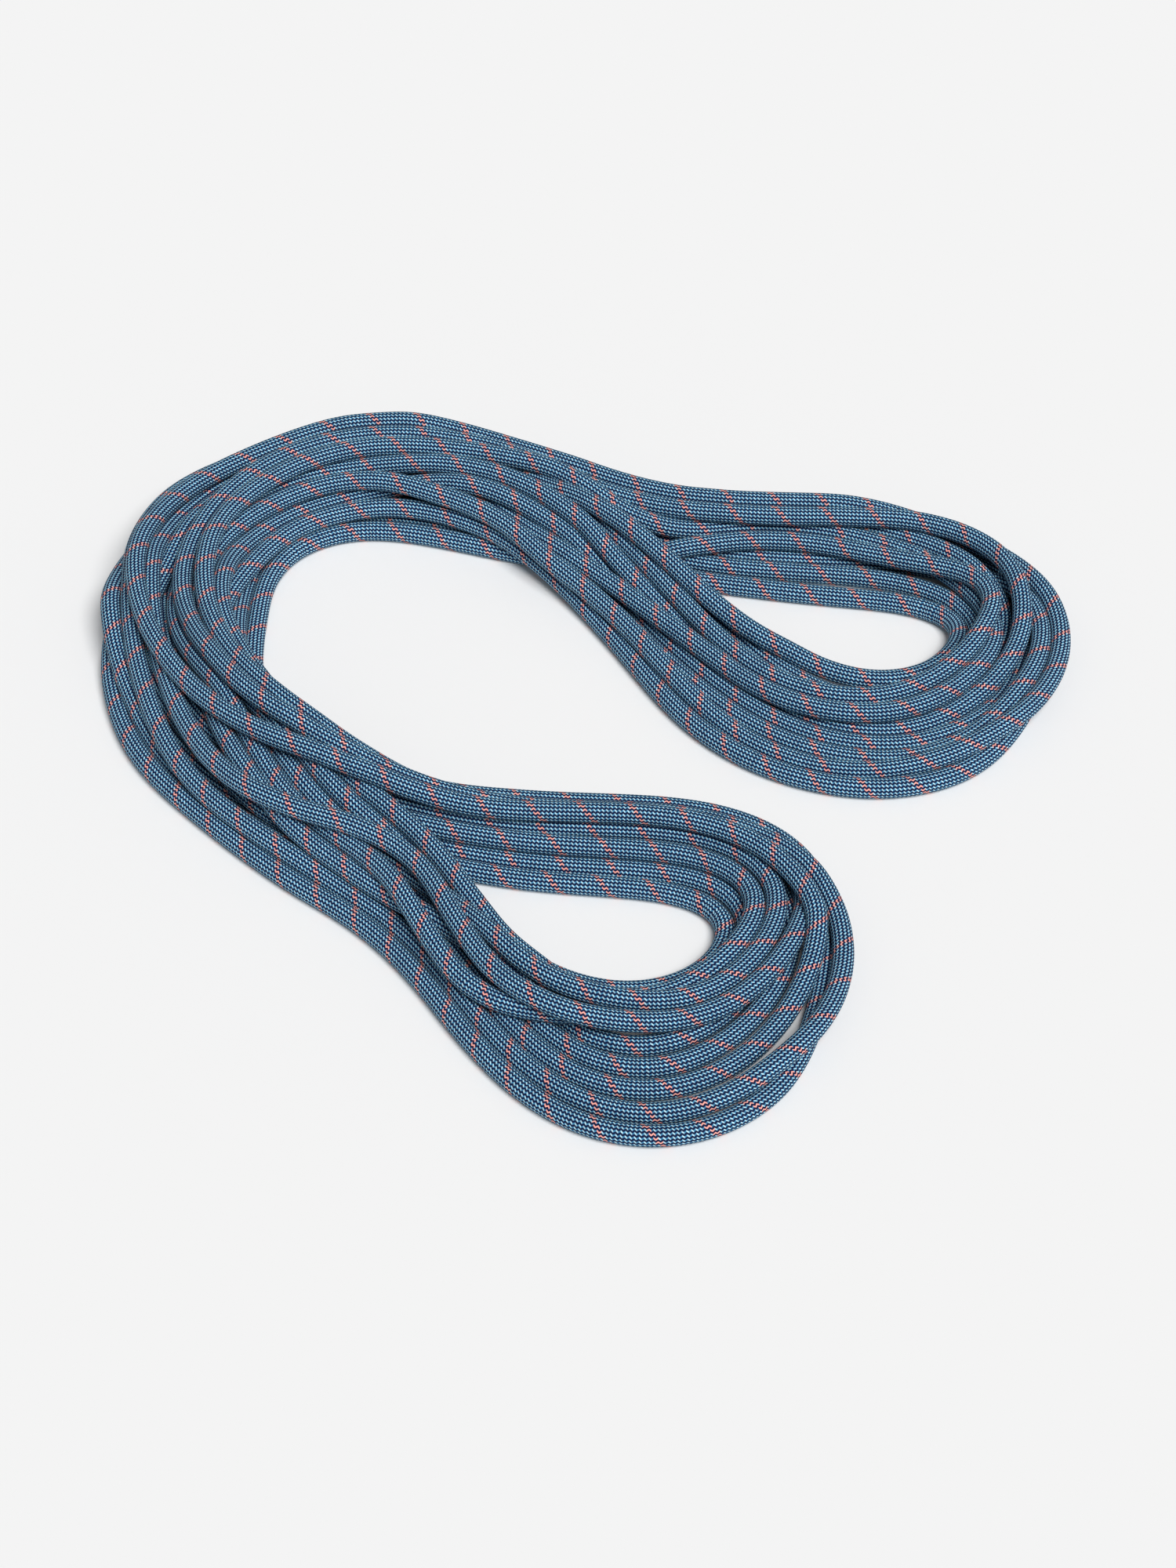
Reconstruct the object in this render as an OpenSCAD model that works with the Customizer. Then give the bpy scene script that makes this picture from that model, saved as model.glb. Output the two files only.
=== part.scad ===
// Dynamic climbing rope, lying as a hank of ten laps.
// The laps form a C with an open loop at each end of it. In the two arms of the C
// one pass of the rope lies on the ground and the other pass crosses on top of it.
// Both rope ends lie on the ground, each with its braided sheath, core strands,
// marker tape, melted tip and shrink sleeve. Millimetres, +Z up, standing on Z = 0.

/* [Rope] */
// Diameter of the rope over its sheath
rope_d = 9.8; // [8.6:0.1:10.6]
// Pitch of neighbouring laps, in rope diameters
lap_pitch_ratio = 1.04; // [1.02:0.01:1.08]
// Wall of the braided sheath
sheath_wall = 1.1; // [0.8:0.1:1.3]

/* [Rope ends] */
// Length of each straight rope end
end_len = 62; // [50:1:70]
// Length of the shrink sleeve
sleeve_len = 42; // [25:1:45]
// Wall of the shrink sleeve
sleeve_wall = 0.6; // [0.4:0.1:1]
// Length of the melted and hardened tip
tip_len = 4; // [3:0.5:6]
// Width of the marker tape under the sheath
tape_w = 2.4; // [1.5:0.1:3]
// Thickness of the marker tape
tape_t = 0.12; // [0.08:0.01:0.15]

/* [Hidden] */

// ---- colours -------------------------------------------------------------
rope_colour = "steelblue";
rope_shade = "royalblue";
core_colour = "ivory";
tape_colour = "orange";
sleeve_colour = "dimgray";

// ---- how the laps are stacked --------------------------------------------
// The ten laps lie as a flat band of two rows. Place k of the band is half a pitch
// further left than place k - 1 and in the other row.
laps = 10;
half_places = 5;                        // places 0 to 5 are the band's first half
pitch = lap_pitch_ratio * rope_d;
row_rise = pitch * sin(60);             // height of one row above the next
sides = 8;                              // sides of a lap's section
rest_z = rope_d / 2 * cos(180 / sides); // centre of a lap that lies on the ground
stack_shift = 1.5 * pitch;              // moves each half over the other one
band_mid = laps / 4;                    // middle of the band, in pitches

// ---- route of the band ---------------------------------------------------
// One closed round, passed once by each lap. Each entry is
// [x, y, stack, row_a, row_b]: the middle of the band; how far its two halves are
// stacked (1), side by side (0) or spread (below 0); the row that each half lies on.
route = [
    // on the ground: upper arm, bend and lower arm
    [  64,  170,  0,    0, 0],
    [  20,  182,  0,    0, 0],
    [ -28,  206,  0,    0, 0],
    [ -78,  220,  0,    0, 0],
    [-130,  220,  0,    0, 0],
    [-174,  198,  0,    0, 0],
    [-204,  158,  0,    0, 0],
    [-208,  108,  0,    0, 0],
    [-190,   58,  0,    0, 0],
    [-154,   16,  0,    0, 0],
    [-114,  -24,  0,    0, 0],
    [ -78,  -42,  0,    0, 0],
    [ -38,  -46,  0,    0, 0],
    // lower loop: back branch, tip and front branch
    [   2,  -42, -0.35, 1, 0],
    [  40,  -46,  0.33, 2, 0],
    [  76,  -64,  0.67, 2, 0],
    [  96, -104,  0.67, 2, 0],
    [  86, -146,  0.67, 2, 0],
    [  54, -170,  0.33, 2, 0],
    [  14, -176, -0.35, 1, 0],
    [ -24, -156,  0,    1, 1],
    // on top of the first pass: lower arm, bend and upper arm
    [ -50, -114,  0,    2, 2],
    [ -80,  -70,  0,    2, 2],
    [-112,  -32,  0,    2, 2],
    [-146,    8,  0,    2, 2],
    [-178,   58,  0,    2, 2],
    [-198,  108,  0,    2, 2],
    [-200,  158,  0,    2, 2],
    [-172,  200,  0,    2, 2],
    [-130,  218,  0,    2, 2],
    [ -82,  212,  0,    2, 2],
    [ -38,  188,  0,    2, 2],
    [   2,  146,  0,    2, 2],
    [  34,   98,  0,    2, 2],
    // upper loop: front branch, tip and back branch
    [  68,   56, -0.35, 1, 2],
    [ 112,   38,  0,    0, 2],
    [ 160,   40,  0.33, 0, 2],
    [ 196,   64,  0.67, 0, 2],
    [ 209,  104,  0.67, 0, 2],
    [ 192,  144,  0.67, 0, 2],
    [ 152,  162,  0.67, 0, 2],
    [ 108,  166, -0.35, 0, 2]
];
stops = len(route);
centre_x = -5.1;                        // middle of the box on the ground
centre_y = 20.7;

// Each lap moves one place to the left in its own stretch of the round, the last lap
// first, so that only one lap at a time changes place.
first_change = 13;                      // in stops, behind the lower loop
last_change = stops - 1;
change_span = (last_change - first_change) / laps;
tail_stop = 8.4;                        // where the tail lap ends, in stops
end_flare = 0.6;                        // a rope end leaves the band, in pitches
flare_span = 2;                         // over this many stops
end_rise = rope_d / 2 + sleeve_wall - rest_z; // the sleeve rests on the ground
rings_per_stop = 2;

function ease(x) = let (c = max(0, min(1, x))) c * c * (3 - 2 * c);
function mix(a, b, f) = a + (b - a) * f;
function stop_at(i) = route[(i % stops + stops) % stops];
function xy(v) = [v[0], v[1]];

// Smooth curve through the middles of the band
function band_xy(t) =
    let (
        i = floor(t),
        f = t - i,
        a = xy(stop_at(i - 1)),
        b = xy(stop_at(i)),
        c = xy(stop_at(i + 1)),
        e = xy(stop_at(i + 2))
    )
    0.5 * (2 * b + (c - a) * f + (2 * a - 5 * b + 4 * c - e) * f * f + (3 * b - a - 3 * c + e) * f * f * f);

// Stack and rows at t, eased from one stop to the next
function band_form(t) =
    let (i = floor(t), f = ease(t - i), a = stop_at(i), b = stop_at(i + 1))
    [mix(a[2], b[2], f), mix(a[3], b[3], f), mix(a[4], b[4], f)];

// Unit vector to the left of the band's way
function band_left(t) =
    let (step = band_xy(t + 0.01) - band_xy(t - 0.01), way = step / norm(step)) [-way[1], way[0]];

// Place of lap n (0 is the first) at t, as a number that grows by one in its change
function place(n, t) = n + ease((t - first_change) / change_span - (laps - 1 - n));
function row_of(k) = k % 2;
function band_row(k) = mix(row_of(floor(k)), row_of(floor(k) + 1), k - floor(k));

// Centre of a lap that is at place k of the band
function band_point(k, t, out, rise) =
    let (
        form = band_form(t),
        second = ease(k - half_places),
        side = (k / 2 - band_mid) * pitch + (1 - 2 * second) * stack_shift * form[0] + out * pitch,
        row = band_row(k) + mix(form[1], form[2], second),
        p = band_xy(t) + band_left(t) * side - [centre_x, centre_y]
    )
    [p[0], p[1], rest_z + row * row_rise + rise];

// The first lap starts a little outside the band, and the tail lap ends so
function flare(x) = x < flare_span ? pow(1 - x / flare_span, 2) : 0;
function lift(x) = end_rise * ease(1 - x / flare_span);
function lap_point(n, t) =
    n == 0 ? band_point(place(0, t), t, -end_flare * flare(t), lift(t)) : band_point(place(n, t), t, 0, 0);
function tail_point(t) =
    band_point(laps, t, end_flare * flare(tail_stop - t), lift(tail_stop - t));
function rope_point(n, t) = n == laps ? tail_point(t) : lap_point(n, t);

// ---- rope swept along its route ------------------------------------------
function unit(v) = v / norm(v);
function rope_way(n, t, t_min, t_max) =
    unit(rope_point(n, min(t + 0.05, t_max)) - rope_point(n, max(t - 0.05, t_min)));
function ring(centre, way) =
    let (across = unit(cross([0, 0, 1], way)), up = cross(way, across))
    [
        for (s = [0:sides - 1])
            let (a = (s + 0.5) * 360 / sides) centre + rope_d / 2 * (across * cos(a) + up * sin(a))
    ];

module rope_length(n, t_end) {
    steps = round(t_end * rings_per_stop);
    rings = [
        for (i = [0:steps])
            let (t = i * t_end / steps) ring(rope_point(n, t), rope_way(n, t, 0, t_end))
    ];
    points = [for (r = rings) for (p = r) p];
    walls = [
        for (i = [0:steps - 1])
            for (s = [0:sides - 1])
                let (a = i * sides, b = (s + 1) % sides) [a + s, a + sides + s, a + sides + b, a + b]
    ];
    first_face = [for (s = [0:sides - 1]) s];
    last_face = [for (s = [sides - 1:-1:0]) steps * sides + s];
    polyhedron(points, concat([first_face, last_face], walls));
}

// ---- rope ends -----------------------------------------------------------
$fn = 48;
bore_d = rope_d - 2 * sheath_wall;
core_d = bore_d - 2 * tape_t;           // the core lies inside the tape
core_strand_d = 0.24 * core_d;          // twelve such strands just fit
strand_gap = 0.05;                      // between the three middle strands
inner_strands = 3;
outer_strands = 9;
outer_ring_r = (core_d - core_strand_d) / 2;
inner_ring_r = (core_strand_d + strand_gap) / sqrt(3);
tip_rounding = 0.5;                     // at the tip's edge

// Puts a rope end's own +X along its way out, with X = 0 where the lap stops
module at_start() {
    way = -rope_way(0, 0, 0, stops);
    translate(rope_point(0, 0)) rotate([0, 0, atan2(way[1], way[0])]) children();
}
module at_tail() {
    way = rope_way(laps, tail_stop, 0, tail_stop);
    translate(rope_point(laps, tail_stop)) rotate([0, 0, atan2(way[1], way[0])]) children();
}

// Braided sheath over the last stretch, open for the core
module sheath_end() {
    length = end_len - tip_len;
    rotate([0, 90, 0]) difference() {
        cylinder(h = length, d = rope_d);
        translate([0, 0, -1]) cylinder(h = length + 2, d = bore_d);
    }
}

// Three strands in the middle and nine round them
module core_strands() {
    length = end_len - tip_len;
    rotate([0, 90, 0]) {
        for (i = [0:inner_strands - 1])
            rotate([0, 0, i * 360 / inner_strands])
                translate([inner_ring_r, 0, 0]) cylinder(h = length, d = core_strand_d);
        for (i = [0:outer_strands - 1])
            rotate([0, 0, (i + 0.5) * 360 / outer_strands])
                translate([outer_ring_r, 0, 0]) cylinder(h = length, d = core_strand_d);
    }
}

// Thin tape that lies against the inside of the sheath
module marker_tape() {
    length = end_len - tip_len;
    arc = tape_w / bore_d * 360 / PI;
    rotate([0, 90, 0]) rotate([0, 0, 180 - arc / 2])
        rotate_extrude(angle = arc) translate([bore_d / 2 - tape_t, 0]) square([tape_t, length]);
}

// Sheath and core melted into one hard plug
module melted_tip() {
    translate([end_len - tip_len, 0, 0]) rotate([0, 90, 0]) rotate_extrude()
        polygon([
            [0, 0],
            [rope_d / 2, 0],
            [rope_d / 2, tip_len - tip_rounding],
            [rope_d / 2 - tip_rounding, tip_len],
            [0, tip_len]
        ]);
}

// Shrink sleeve over the sheath and the tip, up to the tip's rounding
module end_sleeve() {
    translate([end_len - tip_rounding - sleeve_len, 0, 0]) rotate([0, 90, 0]) difference() {
        cylinder(h = sleeve_len, d = rope_d + 2 * sleeve_wall);
        translate([0, 0, -1]) cylinder(h = sleeve_len + 2, d = rope_d);
    }
}

module rope_lap(n) { color(n % 2 == 0 ? rope_colour : rope_shade) rope_length(n, stops); }
module rope_tail_lap() { color(rope_colour) rope_length(laps, tail_stop); }
module start_sheath_end() { color(rope_colour) at_start() sheath_end(); }
module start_core_strands() { color(core_colour) at_start() core_strands(); }
module start_marker_tape() { color(tape_colour) at_start() marker_tape(); }
module start_melted_tip() { color(rope_shade) at_start() melted_tip(); }
module start_end_sleeve() { color(sleeve_colour) at_start() end_sleeve(); }
module tail_sheath_end() { color(rope_colour) at_tail() sheath_end(); }
module tail_core_strands() { color(core_colour) at_tail() core_strands(); }
module tail_marker_tape() { color(tape_colour) at_tail() marker_tape(); }
module tail_melted_tip() { color(rope_shade) at_tail() melted_tip(); }
module tail_end_sleeve() { color(sleeve_colour) at_tail() end_sleeve(); }

rope_lap(0);  // rope_lap_01
rope_lap(1);  // rope_lap_02
rope_lap(2);  // rope_lap_03
rope_lap(3);  // rope_lap_04
rope_lap(4);  // rope_lap_05
rope_lap(5);  // rope_lap_06
rope_lap(6);  // rope_lap_07
rope_lap(7);  // rope_lap_08
rope_lap(8);  // rope_lap_09
rope_lap(9);  // rope_lap_10
rope_tail_lap();
start_sheath_end();
start_core_strands();
start_marker_tape();
start_melted_tip();
start_end_sleeve();
tail_sheath_end();
tail_core_strands();
tail_marker_tape();
tail_melted_tip();
tail_end_sleeve();
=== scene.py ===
"""A dynamic climbing rope that lies as a hank: one rope in ten laps and a tail, with its two ends."""

import bpy
import numpy as np
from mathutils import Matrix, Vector


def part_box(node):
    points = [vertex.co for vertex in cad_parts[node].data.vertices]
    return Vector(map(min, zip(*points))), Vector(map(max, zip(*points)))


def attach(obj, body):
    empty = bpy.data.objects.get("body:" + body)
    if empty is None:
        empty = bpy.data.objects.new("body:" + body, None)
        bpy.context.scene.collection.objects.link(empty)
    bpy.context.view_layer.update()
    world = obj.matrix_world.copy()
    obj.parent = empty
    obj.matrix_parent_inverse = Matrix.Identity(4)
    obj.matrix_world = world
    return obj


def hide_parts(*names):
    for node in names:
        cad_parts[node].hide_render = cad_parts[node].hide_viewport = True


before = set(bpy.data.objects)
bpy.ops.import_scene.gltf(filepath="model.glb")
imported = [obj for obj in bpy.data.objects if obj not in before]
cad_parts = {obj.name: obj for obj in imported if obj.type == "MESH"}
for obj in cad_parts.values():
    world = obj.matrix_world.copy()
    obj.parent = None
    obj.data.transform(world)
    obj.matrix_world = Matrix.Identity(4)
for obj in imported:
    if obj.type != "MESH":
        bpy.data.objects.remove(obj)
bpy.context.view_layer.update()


# ---- Camera --------------------------------------------------------------------------------
# A short telephoto lens looks down at the hank from the front, at 45 degrees, and holds all
# of it in the middle of an upright picture.

lens = 85.0
camera_distance = 1.714
camera_elevation = np.radians(45.0)
target = np.array([0.0051, -0.0207, 0.015])
towards_camera = np.array([0.0, -np.cos(camera_elevation), np.sin(camera_elevation)])

camera_data = bpy.data.cameras.new("camera")
camera_data.lens = lens
camera_data.clip_end = 20.0
camera = bpy.data.objects.new("camera", camera_data)
camera.location = Vector(target + towards_camera * camera_distance)
camera.rotation_euler = Vector(-towards_camera).to_track_quat("-Z", "Y").to_euler()
bpy.context.scene.collection.objects.link(camera)
bpy.context.scene.camera = camera


# ---- How the rope lies ---------------------------------------------------------------------
# The rope is one length, coiled over a person's neck or hand and laid down as a C with an
# open loop at each end. Eleven stretches run one way along the C and ten run back. Here a
# plan of cross sections gives the strands their order, and the strands then settle on it.

rope_d = 0.0098
rope_r = rope_d / 2
sleeve_r = 0.0055
row_rise = rope_d * np.sin(np.radians(60))
loosest_step = 1.2 * rope_d
box_middle = np.array([-0.0051, 0.0207])     # of the hank, in the plan below

# Each section: its outer and inner end in millimetres, then its rows of strands from the
# ground up, each read from the outer end. Small letters run from the upper loop's back
# branch to the lower loop's, capitals from the lower loop's front branch to the upper one's.
# A dot is an empty place.
SECTIONS = {
    "upper neck back": ((47, 199), (43, 155), "feijk", "ghcd", "ab."),
    "upper neck front": ((44, 140), (38, 76), "FGHIJAB", "CDE..."),
    "upper arm right": ((-42, 240), (-43, 172), "fegijdk", "hDFJEB", "aCGIA", "bcH."),
    "upper arm left": ((-131, 247), (-127, 200), "fegijk", "DhFJd", "CGEHIB", "abcA"),
    "bend top": ((-210, 192), (-168, 161), "fegijk", "DhFJd", "CGEHIB", "a.bcA"),
    "bend side": ((-230, 106), (-167, 102), "Ffegijk", "DEhJBd", "CGHAI", "a.bc"),
    "lower arm left": ((-188, 4), (-138, 42), "Ffegjd", "DEhiB", "CGJHAI", "..abc"),
    "lower arm right": ((-141, -42), (-93, 12), "FDEfegjd", "CJHhi.c", "GBAIab"),
    "lower neck": ((-98, -76), (-52, -2), "FCDEfegjd", "JHBAhic", "..GIab"),
    "lower back left": ((-25, -6), (-25, -58), "djgef", "cih.", "ba.."),
    "lower back": ((18, -6), (18, -62), "djgef", "cih.", "ba.."),
    "lower back right": ((57, -6), (50, -76), "djgef.", "cih..", "ba..."),
    "lower tip back": ((101, -26), (67, -84), "djgef", "cih.", "ba."),
    "lower tip": ((113, -86), (65, -93), "CFEJHA", "DGBI"),
    "lower tip front": ((107, -136), (52, -106), "CFDEJHA", "...GBI"),
    "lower front right": ((86, -187), (31, -117), "F.DEJHA", "C..GBI"),
    "lower front": ((29, -209), (11, -120), "FCDEJHBA", ".....GI"),
    "lower front left": ((-19, -188), (-6, -118), "FCDEJHA", "...GBI"),
    "lower neck front": ((-52, -150), (-25, -102), "FCDEJ", "HGBA", "..I"),
    "upper front left": ((60, 38), (75, 108), "BAJIHGF", "...EDC"),
    "upper front": ((92, 17), (93, 95), "BAJIHGFC", "...ED.."),
    "upper front middle": ((138, 10), (118, 78), "BAIHGF.C", ".J.ED.."),
    "upper front right": ((181, 18), (145, 78), "B.IHGFC", "AJ.ED."),
    "upper tip front": ((218, 69), (174, 90), "ABIGF", "JHEC", "..D"),
    "upper tip": ((229, 109), (190, 110), "ABIGF", "JHEC", "..D"),
    "upper tip back": ((214, 166), (184, 122), "egijk", "ahc.", "bd."),
    "upper back right": ((168, 190), (165, 133), "egijk", "ahcd", "b..."),
    "upper back": ((117, 196), (115, 136), ".egij.k", "hcd...", "ab..."),
    "upper back left": ((64, 200), (62, 153), ".egijk", "hcd..", "ab.."),
}
ARM = ["upper arm right", "upper arm left", "bend top", "bend side", "lower arm left",
       "lower arm right", "lower neck"]
WAY_OUT = ["upper neck back", *ARM, "lower back left", "lower back", "lower back right",
           "lower tip back"]
WAY_BACK = ["lower tip", "lower tip front", "lower front right", "lower front",
            "lower front left", "lower neck front", *reversed(ARM), "upper neck front",
            "upper front left", "upper front", "upper front middle", "upper front right",
            "upper tip front", "upper tip"]
WAY_HOME = ["upper tip back", "upper back right", "upper back", "upper back left"]
TAIL_WAY = ["upper neck back", *ARM[:4]]
STRANDS = "fAaDdFjEcGhIgJiBeHbCk"            # in the order in which the rope runs
full_laps = 10


def spot(section, strand):
    """A strand's place: the section's middle, plus one step towards the inner end for each slot
    past its row's middle, at the height of a row that lies in the hollows of those below."""
    outer, inner, *rows = SECTIONS[section]
    outer = np.array(outer) / 1000 - box_middle
    inner = np.array(inner) / 1000 - box_middle
    span = np.linalg.norm(inner - outer)
    step = min(span / (max(map(len, rows)) - 1), loosest_step)
    row = next(i for i, text in enumerate(rows) if strand in text)
    slot = rows[row].index(strand) - (len(rows[row]) - 1) / 2
    place = (outer + inner) / 2 + (inner - outer) / span * slot * step
    return np.array([*place, rope_r + row * row_rise])


def smooth_line(knots, step):
    """Centripetal Catmull-Rom curve through the knots, as points about one step apart: between
    two knots a cubic, whose slopes weigh the gaps at a knot by the square roots of their lengths."""
    knots = np.vstack([2 * knots[0] - knots[1], knots, 2 * knots[-1] - knots[-2]])
    gaps = np.sqrt(np.linalg.norm(np.diff(knots, axis=0), axis=1))[:, None]
    before, a, b, after = knots[:-3], knots[1:-2], knots[2:-1], knots[3:]
    g0, g1, g2 = gaps[:-2], gaps[1:-1], gaps[2:]
    slope_a = ((a - before) / g0 - (b - before) / (g0 + g1) + (b - a) / g1) * g1
    slope_b = ((b - a) / g1 - (after - a) / (g1 + g2) + (after - b) / g2) * g1
    f = np.arange(0, 1, 1 / 32)[:, None, None]
    line = ((2 * f**3 - 3 * f**2 + 1) * a + (f**3 - 2 * f**2 + f) * slope_a
            + (3 * f**2 - 2 * f**3) * b + (f**3 - f**2) * slope_b)
    line = np.vstack([line.transpose(1, 0, 2).reshape(-1, 3), knots[-2]])
    distance = np.r_[0, np.cumsum(np.linalg.norm(np.diff(line, axis=0), axis=1))]
    stops = np.linspace(0, distance[-1], int(round(distance[-1] / step)) + 1)
    return np.stack([np.interp(stops, distance, line[:, k]) for k in range(3)], 1)


# The laps run from the inner face of one sheath end to that of the other. A sheath end and
# its sleeve share one axis, so the middles of the two solids give it.
sheath_end_length = 0.058
end_length = 0.062              # with the melted tip
straight = 0.014                # of the rope before an end, in line with it


def rope_end(name):
    """Where the laps meet a rope end, half a sheath end back from the sheath's middle, and the
    way from there to the tip."""
    sheath = np.mean([list(corner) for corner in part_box(name + "_sheath_end")], axis=0)
    sleeve = np.mean([list(corner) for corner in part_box(name + "_end_sleeve")], axis=0)
    way = (sleeve - sheath) / np.linalg.norm(sleeve - sheath)
    return sheath - way * sheath_end_length / 2, way


start_point, start_way = rope_end("start")
tail_point, tail_way = rope_end("tail")

knots = [start_point, start_point - start_way * straight]
seams = []
for lap in range(full_laps):
    out, back, home = STRANDS[2 * lap], STRANDS[2 * lap + 1], STRANDS[2 * lap + 2]
    knots += [spot(section, out) for section in WAY_OUT]
    knots += [spot(section, back) for section in WAY_BACK]
    knots += [spot(section, home) for section in WAY_HOME]
    seams.append(len(knots) - 1)
knots += [spot(section, STRANDS[-1]) for section in TAIL_WAY]
knots += [tail_point - tail_way * straight, tail_point]
knots = np.array(knots)
spacing = 0.005
planned = smooth_line(knots, spacing)
seam_points = [int(np.argmin(np.linalg.norm(planned - knots[s], axis=1))) for s in seams]


def near_pairs(points, reach, apart):
    """Pairs of points closer than reach and more than so many places apart along the rope. A
    squared gap is the sum of the two points' squares less twice their dot product."""
    squares = (points**2).sum(1)
    block_size = 600            # which keeps the table of gaps small
    first, second = [], []
    for start in range(0, len(points), block_size):
        block = points[start:start + block_size]
        square_gaps = squares[start:start + block_size, None] + squares - 2 * block @ points.T
        i, j = np.nonzero(square_gaps < reach**2)
        far = j - i - start > apart
        first.append(i[far] + start)
        second.append(j[far])
    return np.concatenate(first), np.concatenate(second)


def push_apart(points, point, partner):
    """Moves each point away from the nearest place on the two stretches beside its partner, and
    that place away from it, each by a share of what their gap lacks of one diameter. A point
    moves by the sum of its pushes, over the root of their number, times the drive."""
    count = len(points)
    share = 0.25
    drive = 1.6
    best = None
    for side in (-1, 1):
        other = np.clip(partner + side, 0, count - 1)
        stretch = points[other] - points[partner]
        offset = points[point] - points[partner]
        f = (offset * stretch).sum(1) / np.maximum((stretch**2).sum(1), 1e-12)
        f = np.clip(f, 0, 1)
        gap = offset - stretch * f[:, None]
        size = np.sqrt((gap**2).sum(1))
        found = np.column_stack([size, gap, f, other])
        best = found if best is None else np.where(found[:, :1] < best[:, :1], found, best)
    close = best[:, 0] < rope_d
    best, point, partner = best[close], point[close], partner[close]
    size, gap, f, other = best[:, 0], best[:, 1:4], best[:, 4], best[:, 5].astype(int)
    push = gap * (share * (rope_d - size) / np.maximum(size, 1e-6))[:, None]
    move = np.zeros((count, 3))
    for k in range(3):
        move[:, k] += np.bincount(point, push[:, k], count)
        move[:, k] -= np.bincount(partner, push[:, k] * (1 - f), count)
        move[:, k] -= np.bincount(other, push[:, k] * f, count)
    weight = (np.bincount(point, minlength=count) + np.bincount(partner, 1 - f, count)
              + np.bincount(other, f, count))
    points += move * (drive / np.sqrt(np.maximum(weight, 1)))[:, None]


def settle(plan, rounds):
    """Lets the planned rope sink under its weight until its strands rest on each other. Each
    round it sinks a little, is drawn to the plan, straightens by its stiffness, takes its
    length back and is pushed clear of itself, of its two ends and of the ground."""
    points = plan.copy()
    along = np.arange(len(points))
    fixed = 8                   # points next to an end, which it can not push
    for done in range(rounds):
        left = 1 - done / rounds
        sink = 0.0004 * (0.2 + left)
        pull = 0.035 + 0.03 * left
        if done % 8 == 0:
            pairs = near_pairs(points.astype(np.float32), reach=1.5 * rope_d, apart=7)
        points[:, 2] -= sink
        points[:, :2] += pull * (plan[:, :2] - points[:, :2])
        # Stiffness takes a share of the fourth difference, over points m places apart.
        for m, strength in ((1, 0.7), (2, 0.7), (4, 0.7), (7, 0.4 * left + 0.2)):
            inner = points[2 * m:-2 * m]
            bend = (points[:-4 * m] - 4 * points[m:-3 * m] + 6 * inner
                    - 4 * points[3 * m:-m] + points[4 * m:])
            points[2 * m:-2 * m] = inner - strength / 16 * bend
        # Every second link takes its length back, and then the links between them.
        for odd in (0, 1):
            a, b = points[odd:-1:2], points[odd + 1::2]
            a, b = a[:len(b)], b[:len(a)]
            step = b - a
            size = np.linalg.norm(step, axis=1)[:, None]
            change = 0.5 * step * (1 - spacing / size)
            a += change
            b -= change
        for _ in range(2):
            push_apart(points, *pairs)
            push_apart(points, *pairs[::-1])
            for end, way, free in ((start_point, start_way, along > fixed),
                                   (tail_point, tail_way, along[::-1] > fixed)):
                f = np.clip((points - end) @ way, 0, end_length)[:, None]
                gap = points - end - way * f
                size = np.linalg.norm(gap, axis=1)
                hit = free & (size < rope_r + sleeve_r)
                points[hit] += gap[hit] * ((rope_r + sleeve_r) / size[hit] - 1)[:, None]
            points[:, 2] = np.maximum(points[:, 2], rope_r)
        points[0], points[1] = start_point, start_point - start_way * spacing
        points[-1], points[-2] = tail_point, tail_point - tail_way * spacing
    return points


rope = settle(planned, rounds=240)
lap_edges = [0, *seam_points, len(rope) - 1]

# A light average over neighbours, three times, takes out what the last pushes leave.
smooth_rope = rope.copy()
for _ in range(3):
    smooth_rope[1:-1] = 0.5 * smooth_rope[1:-1] + 0.25 * (smooth_rope[:-2] + smooth_rope[2:])


# ---- Braided sheath ------------------------------------------------------------------------
# Nylon yarns in navy and two lighter blues are braided round the core, over two and under
# two, so the lighter ones make zigzags along the rope. One pair of yarns is coral and winds
# round it as a tracer. The navy between the strokes is darkened near to black, as painted
# shade in the hollows of the braid.

strand_rows = 16
zigzag = 0.00195
tracer_pitch = 12 * zigzag
tracer_width = 1.1 * zigzag
stroke_swing = 0.2              # of a row's width, to either side
yarn_wobble = 0.3
# Navy is partly the yarns' own colour and partly painted shade, darkened near to black for the
# hollows between the strokes.
navy_and_hollow_shade = (0.004, 0.010, 0.050, 1)
teal = (0.06, 0.26, 0.48, 1)
pale = (0.54, 0.86, 1.0, 1)
coral = (0.95, 0.42, 0.36, 1)

braid = bpy.data.materials.new("sheath_braid")
braid.use_nodes = True
nodes, links = braid.node_tree.nodes, braid.node_tree.links
shader = nodes["Principled BSDF"]


def feed(socket, value):
    """Links another node's output to a socket, or sets the socket to a plain value."""
    if isinstance(value, bpy.types.NodeSocket):
        links.new(value, socket)
    else:
        socket.default_value = value


def calc(operation, first, second=0.0):
    """One Math node of one or two inputs."""
    node = nodes.new("ShaderNodeMath")
    node.operation = operation
    feed(node.inputs[0], first)
    feed(node.inputs[1], second)
    return node.outputs[0]


def ramp(value, zero_at, one_at):
    """Smooth step of a value, from 0 at one number to 1 at the other."""
    node = nodes.new("ShaderNodeMapRange")
    node.interpolation_type = "SMOOTHSTEP"
    node.inputs["From Min"].default_value = zero_at
    node.inputs["From Max"].default_value = one_at
    feed(node.inputs["Value"], value)
    return node.outputs["Result"]


def blend(share, first, second):
    """Colour between two colours."""
    node = nodes.new("ShaderNodeMix")
    node.data_type = "RGBA"
    feed(node.inputs["Factor"], share)
    feed(node.inputs["A"], first)
    feed(node.inputs["B"], second)
    return node.outputs["Result"]


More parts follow.
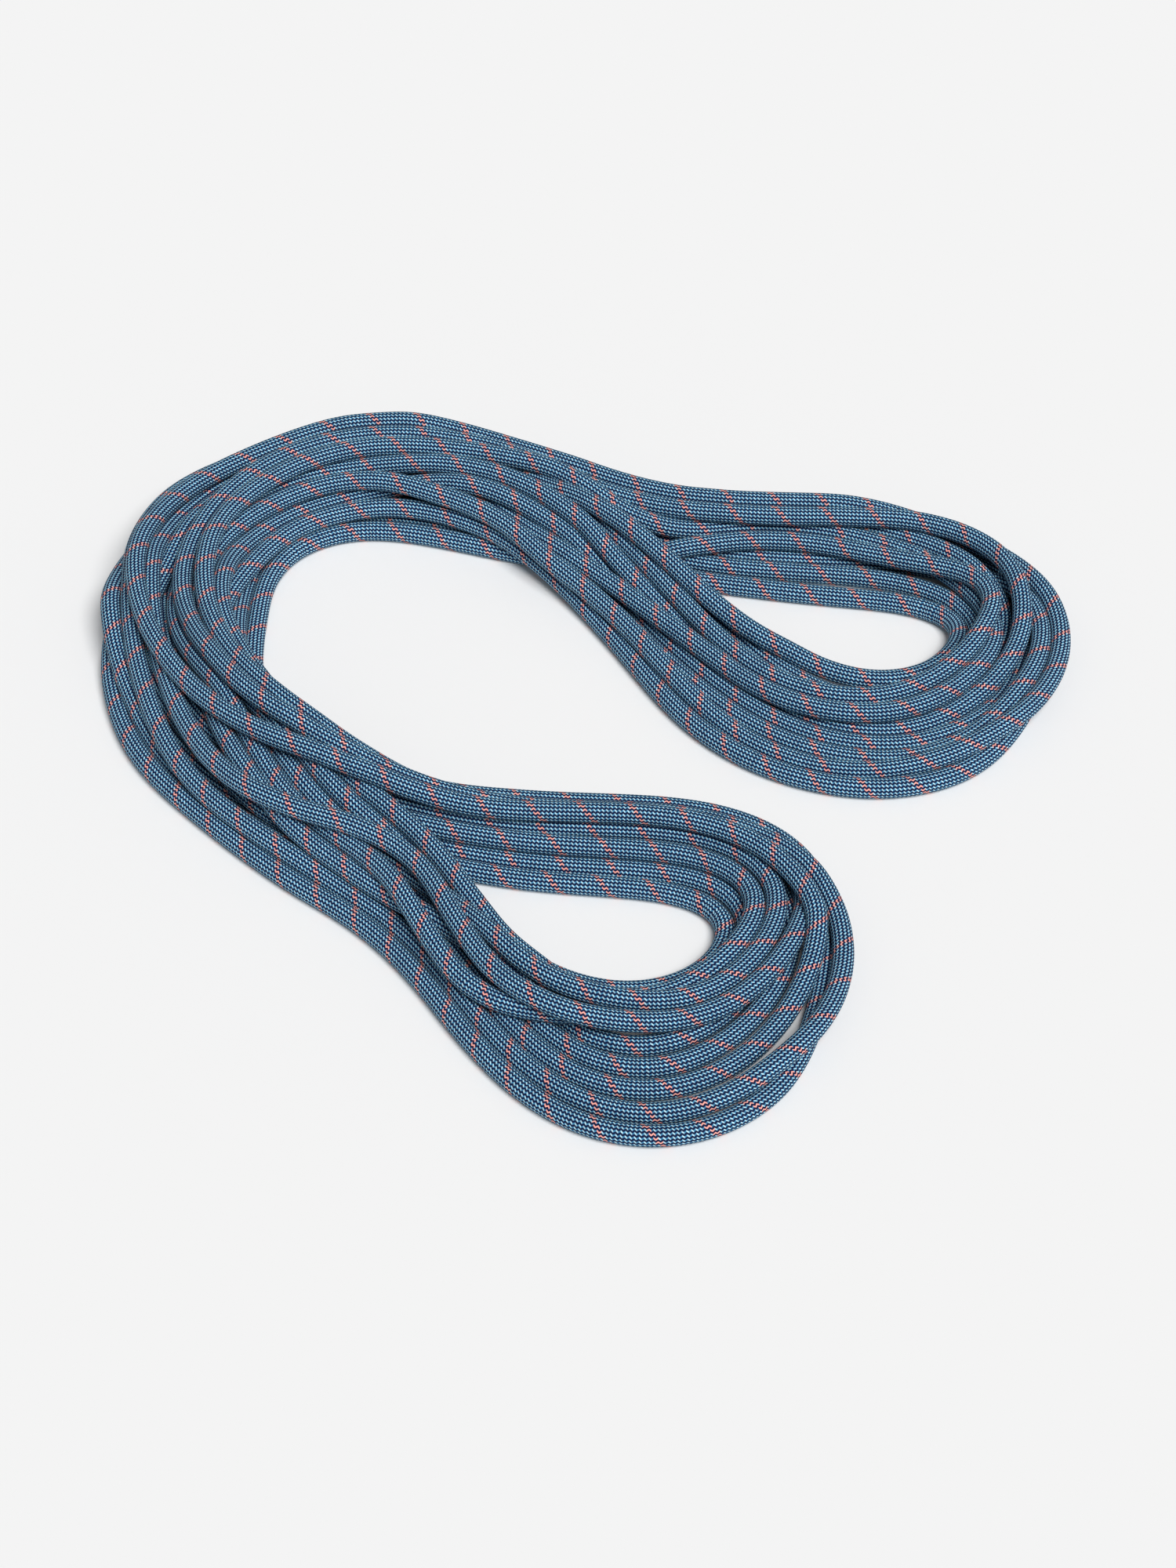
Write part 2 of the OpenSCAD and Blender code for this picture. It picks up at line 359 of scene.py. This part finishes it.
# The rope's own map holds the share of a turn round it and the metres along it.
place = nodes.new("ShaderNodeUVMap")
place.uv_map = "rope"
split = nodes.new("ShaderNodeSeparateXYZ")
links.new(place.outputs["UV"], split.inputs["Vector"])
share_round, metres_along = split.outputs["X"], split.outputs["Y"]

# A zigzag stroke goes up and down across its own row, and the rows lie side by side.
row_place = calc("MULTIPLY", share_round, strand_rows)
row = calc("FLOOR", row_place)
across_row = calc("SUBTRACT", calc("FRACT", row_place), 0.5)
period_place = calc("DIVIDE", metres_along, zigzag)
period = calc("FLOOR", period_place)
phase = calc("FRACT", period_place)
off_middle = calc("ABSOLUTE", calc("SUBTRACT", phase, 0.5))
swing = calc("SUBTRACT", calc("MULTIPLY", off_middle, 4.0), 1.0)
off_stroke = calc("ABSOLUTE", calc("SUBTRACT", across_row, calc("MULTIPLY", swing, stroke_swing)))
stroke = ramp(off_stroke, zero_at=0.3, one_at=0.13)
rising = ramp(phase, zero_at=0.44, one_at=0.56)

# Every second half of a zigzag is pale, and every yarn differs a little.
wobble = nodes.new("ShaderNodeTexWhiteNoise")
wobble.noise_dimensions = "2D"
cell = nodes.new("ShaderNodeCombineXYZ")
links.new(row, cell.inputs["X"])
links.new(period, cell.inputs["Y"])
links.new(cell.outputs["Vector"], wobble.inputs["Vector"])
yarn = blend(rising, teal, pale)
yarn = blend(calc("MULTIPLY", wobble.outputs["Value"], yarn_wobble), yarn, navy_and_hollow_shade)

# The tracer takes two or three strokes in each row, and winds once round in each pitch.
stroke_count = calc("FLOOR", calc("MULTIPLY", period_place, 2.0))
helix = calc("SUBTRACT", calc("MULTIPLY", stroke_count, 0.5 * zigzag / tracer_pitch),
             calc("DIVIDE", row, strand_rows))
on_helix = calc("LESS_THAN", calc("FRACT", helix), tracer_width / tracer_pitch)
yarn = blend(on_helix, yarn, coral)
# Off the strokes the colour is navy, which stands partly for painted shade in the hollows between
# them.
colour = blend(stroke, navy_and_hollow_shade, yarn)
links.new(colour, shader.inputs["Base Color"])

relief = nodes.new("ShaderNodeBump")
relief.inputs["Strength"].default_value = 0.6
relief.inputs["Distance"].default_value = 0.0003
links.new(stroke, relief.inputs["Height"])
links.new(relief.outputs["Normal"], shader.inputs["Normal"])
shader.inputs["Roughness"].default_value = 0.7
shader.inputs["Specular IOR Level"].default_value = 0.1
shader.inputs["Sheen Weight"].default_value = 0.02
shader.inputs["Sheen Roughness"].default_value = 0.5


# ---- Laps ----------------------------------------------------------------------------------
# The laps are stretches of one sheathed nylon rope: ten from the upper loop round the C and
# back, and a tail lap that stops half way. They meet end to end, and the braid runs on from
# each to the next.

rope_sides = 28
ring_step = 0.0025


def new_object(name, verts, faces, uvs=None):
    """Mesh object at the origin with smooth faces and, if given, a UV for each face corner."""
    mesh = bpy.data.meshes.new(name)
    mesh.from_pydata(verts, [], faces)
    mesh.polygons.foreach_set("use_smooth", [True] * len(mesh.polygons))
    if uvs is not None:
        layer = mesh.uv_layers.new(name="rope")
        layer.data.foreach_set("uv", np.asarray(uvs, dtype=np.float32).ravel())
    obj = bpy.data.objects.new(name, mesh)
    bpy.context.scene.collection.objects.link(obj)
    return obj


def rings_along(centres, radius):
    """Rings round a centreline: the centre, plus radius times the cosine of the turn along the
    level way across and its sine along the way square to both."""
    ways = np.gradient(centres, axis=0)
    across = np.cross([0, 0, 1], ways)
    across /= np.linalg.norm(across, axis=1)[:, None]
    ups = np.cross(ways / np.linalg.norm(ways, axis=1)[:, None], across)
    turns = 2 * np.pi * np.arange(rope_sides) / rope_sides
    return centres[:, None] + radius * (across[:, None] * np.cos(turns)[:, None]
                                        + ups[:, None] * np.sin(turns)[:, None])


def tube(name, centres, runs, bore=0.0):
    """Closed braided tube of rings round a centreline. Its map holds the share of a turn and the
    run along the rope. With a bore it is hollow, with an inner wall."""
    count = len(centres)
    outer = rings_along(centres, rope_r)
    inner = rings_along(centres[[0, -1]], bore)
    i, s = np.meshgrid(np.arange(count - 1), np.arange(rope_sides), indexing="ij")
    after = (s + 1) % rope_sides
    walls = np.stack([i * rope_sides + s, i * rope_sides + after, (i + 1) * rope_sides + after,
                      (i + 1) * rope_sides + s], -1).reshape(-1, 4)
    turns = np.stack([s, s + 1, s + 1, s], -1).reshape(-1, 4) / rope_sides
    ends = np.stack([i, i, i + 1, i + 1], -1).reshape(-1, 4)
    uvs = np.stack([turns, np.asarray(runs)[ends]], -1).reshape(-1, 2)
    # The end faces have points of their own, so that they keep a sharp edge, and one colour.
    caps = np.concatenate([outer[[0, -1]], inner]).reshape(-1, 3)
    first = count * rope_sides
    s = np.arange(rope_sides)
    after = (s + 1) % rope_sides
    near, far, near_bore, far_bore = (first + k * rope_sides for k in range(4))
    faces = [np.stack([near + after, near + s, near_bore + s, near_bore + after], 1),
             np.stack([far + s, far + after, far_bore + after, far_bore + s], 1)]
    if bore:
        faces.append(np.stack([near_bore + after, near_bore + s, far_bore + s, far_bore + after], 1))
    end_faces = np.concatenate(faces)
    end_uvs = np.tile([0.5 / strand_rows, runs[0]], (end_faces.size, 1))
    verts = np.concatenate([outer.reshape(-1, 3), caps])
    obj = new_object(name, verts.tolist(), walls.tolist() + end_faces.tolist(),
                     np.concatenate([uvs, end_uvs]))
    obj.data.materials.append(braid)
    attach(obj, "root")
    return obj


rope_run = np.r_[0, np.cumsum(np.linalg.norm(np.diff(rope, axis=0), axis=1))]
for lap in range(full_laps + 1):
    node = "rope_tail_lap" if lap == full_laps else f"rope_lap_{lap + 1:02d}"
    lap_start, lap_end = rope_run[lap_edges[lap]], rope_run[lap_edges[lap + 1]]
    stops = np.linspace(lap_start, lap_end, int((lap_end - lap_start) / ring_step) + 1)
    centres = np.stack([np.interp(stops, rope_run, smooth_rope[:, k]) for k in range(3)], 1)
    obj = tube(node + "_braid", centres, stops)
    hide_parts(node)


# ---- Rope ends -----------------------------------------------------------------------------
# At both ends the sheath goes on over twelve core strands and a marker tape. They are cut hot,
# so sheath and core melt into a hard tip, and a black shrink sleeve holds the end.

bore_r = 0.0038
end_rings = 25
end_pieces = {"start": [], "tail": []}
for name, point, way, first_run in (("start", start_point, start_way, -sheath_end_length),
                                    ("tail", tail_point, tail_way, float(rope_run[-1]))):
    steps = np.linspace(0, sheath_end_length, end_rings)
    # The first end runs from its tip to the laps, and the other one from the laps to its tip.
    from_laps = steps[::-1] if name == "start" else steps
    obj = tube(name + "_sheath_braid", point + way * from_laps[:, None], steps + first_run, bore_r)
    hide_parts(name + "_sheath_end")
    end_pieces[name].append(obj)


def plain(name, colour, roughness):
    """Material of one colour and roughness."""
    material = bpy.data.materials.new(name)
    material.use_nodes = True
    surface = material.node_tree.nodes["Principled BSDF"]
    surface.inputs["Base Color"].default_value = colour
    surface.inputs["Roughness"].default_value = roughness
    return material


finishes = {
    "core_strands": plain("core_yarn", (0.8, 0.78, 0.72, 1), 0.8),
    "marker_tape": plain("marker_tape", (0.75, 0.3, 0.05, 1), 0.5),
    "melted_tip": plain("melted_end", (0.02, 0.03, 0.06, 1), 0.3),
    "end_sleeve": plain("end_sleeve", (0.015, 0.015, 0.017, 1), 0.55),
}
for name in ("start", "tail"):
    for piece, material in finishes.items():
        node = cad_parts[f"{name}_{piece}"]
        node.data.materials.clear()
        node.data.materials.append(material)
        end_pieces[name].append(node)


# ---- Floor, backdrop and light -------------------------------------------------------------
# A pale seamless floor under one wide soft light, high at the front right, with a quarter of
# the light from all round, as in a white studio.

floor_reach = 14.0
sweep = plain("sweep", (0.905, 0.905, 0.905, 1), 1.0)
sweep.node_tree.nodes["Principled BSDF"].inputs["Specular IOR Level"].default_value = 0.0
corners = [(floor_reach * x, floor_reach * y, 0) for x, y in ((-1, -1), (1, -1), (1, 1), (-1, 1))]
floor = new_object("floor", corners, [(0, 1, 2, 3)])
floor.data.materials.append(sweep)

# World and key light add up to 1 on the level floor, so a colour there renders as written.
world_share = 0.24
key_share = 0.76
world = bpy.data.worlds.new("studio")
world.use_nodes = True
world.node_tree.nodes["Background"].inputs["Color"].default_value = (1, 1, 1, 1)
world.node_tree.nodes["Background"].inputs["Strength"].default_value = world_share
bpy.context.scene.world = world
bpy.context.scene.view_settings.view_transform = "Standard"

towards_light = Vector((0.25, -0.5, 0.83)).normalized()
lamp_data = bpy.data.lights.new("key", "SUN")
lamp_data.energy = key_share * np.pi / towards_light.z
lamp_data.angle = np.radians(30)
lamp = bpy.data.objects.new("key", lamp_data)
lamp.location = towards_light * 2
lamp.rotation_euler = (-towards_light).to_track_quat("-Z", "Y").to_euler()
bpy.context.scene.collection.objects.link(lamp)
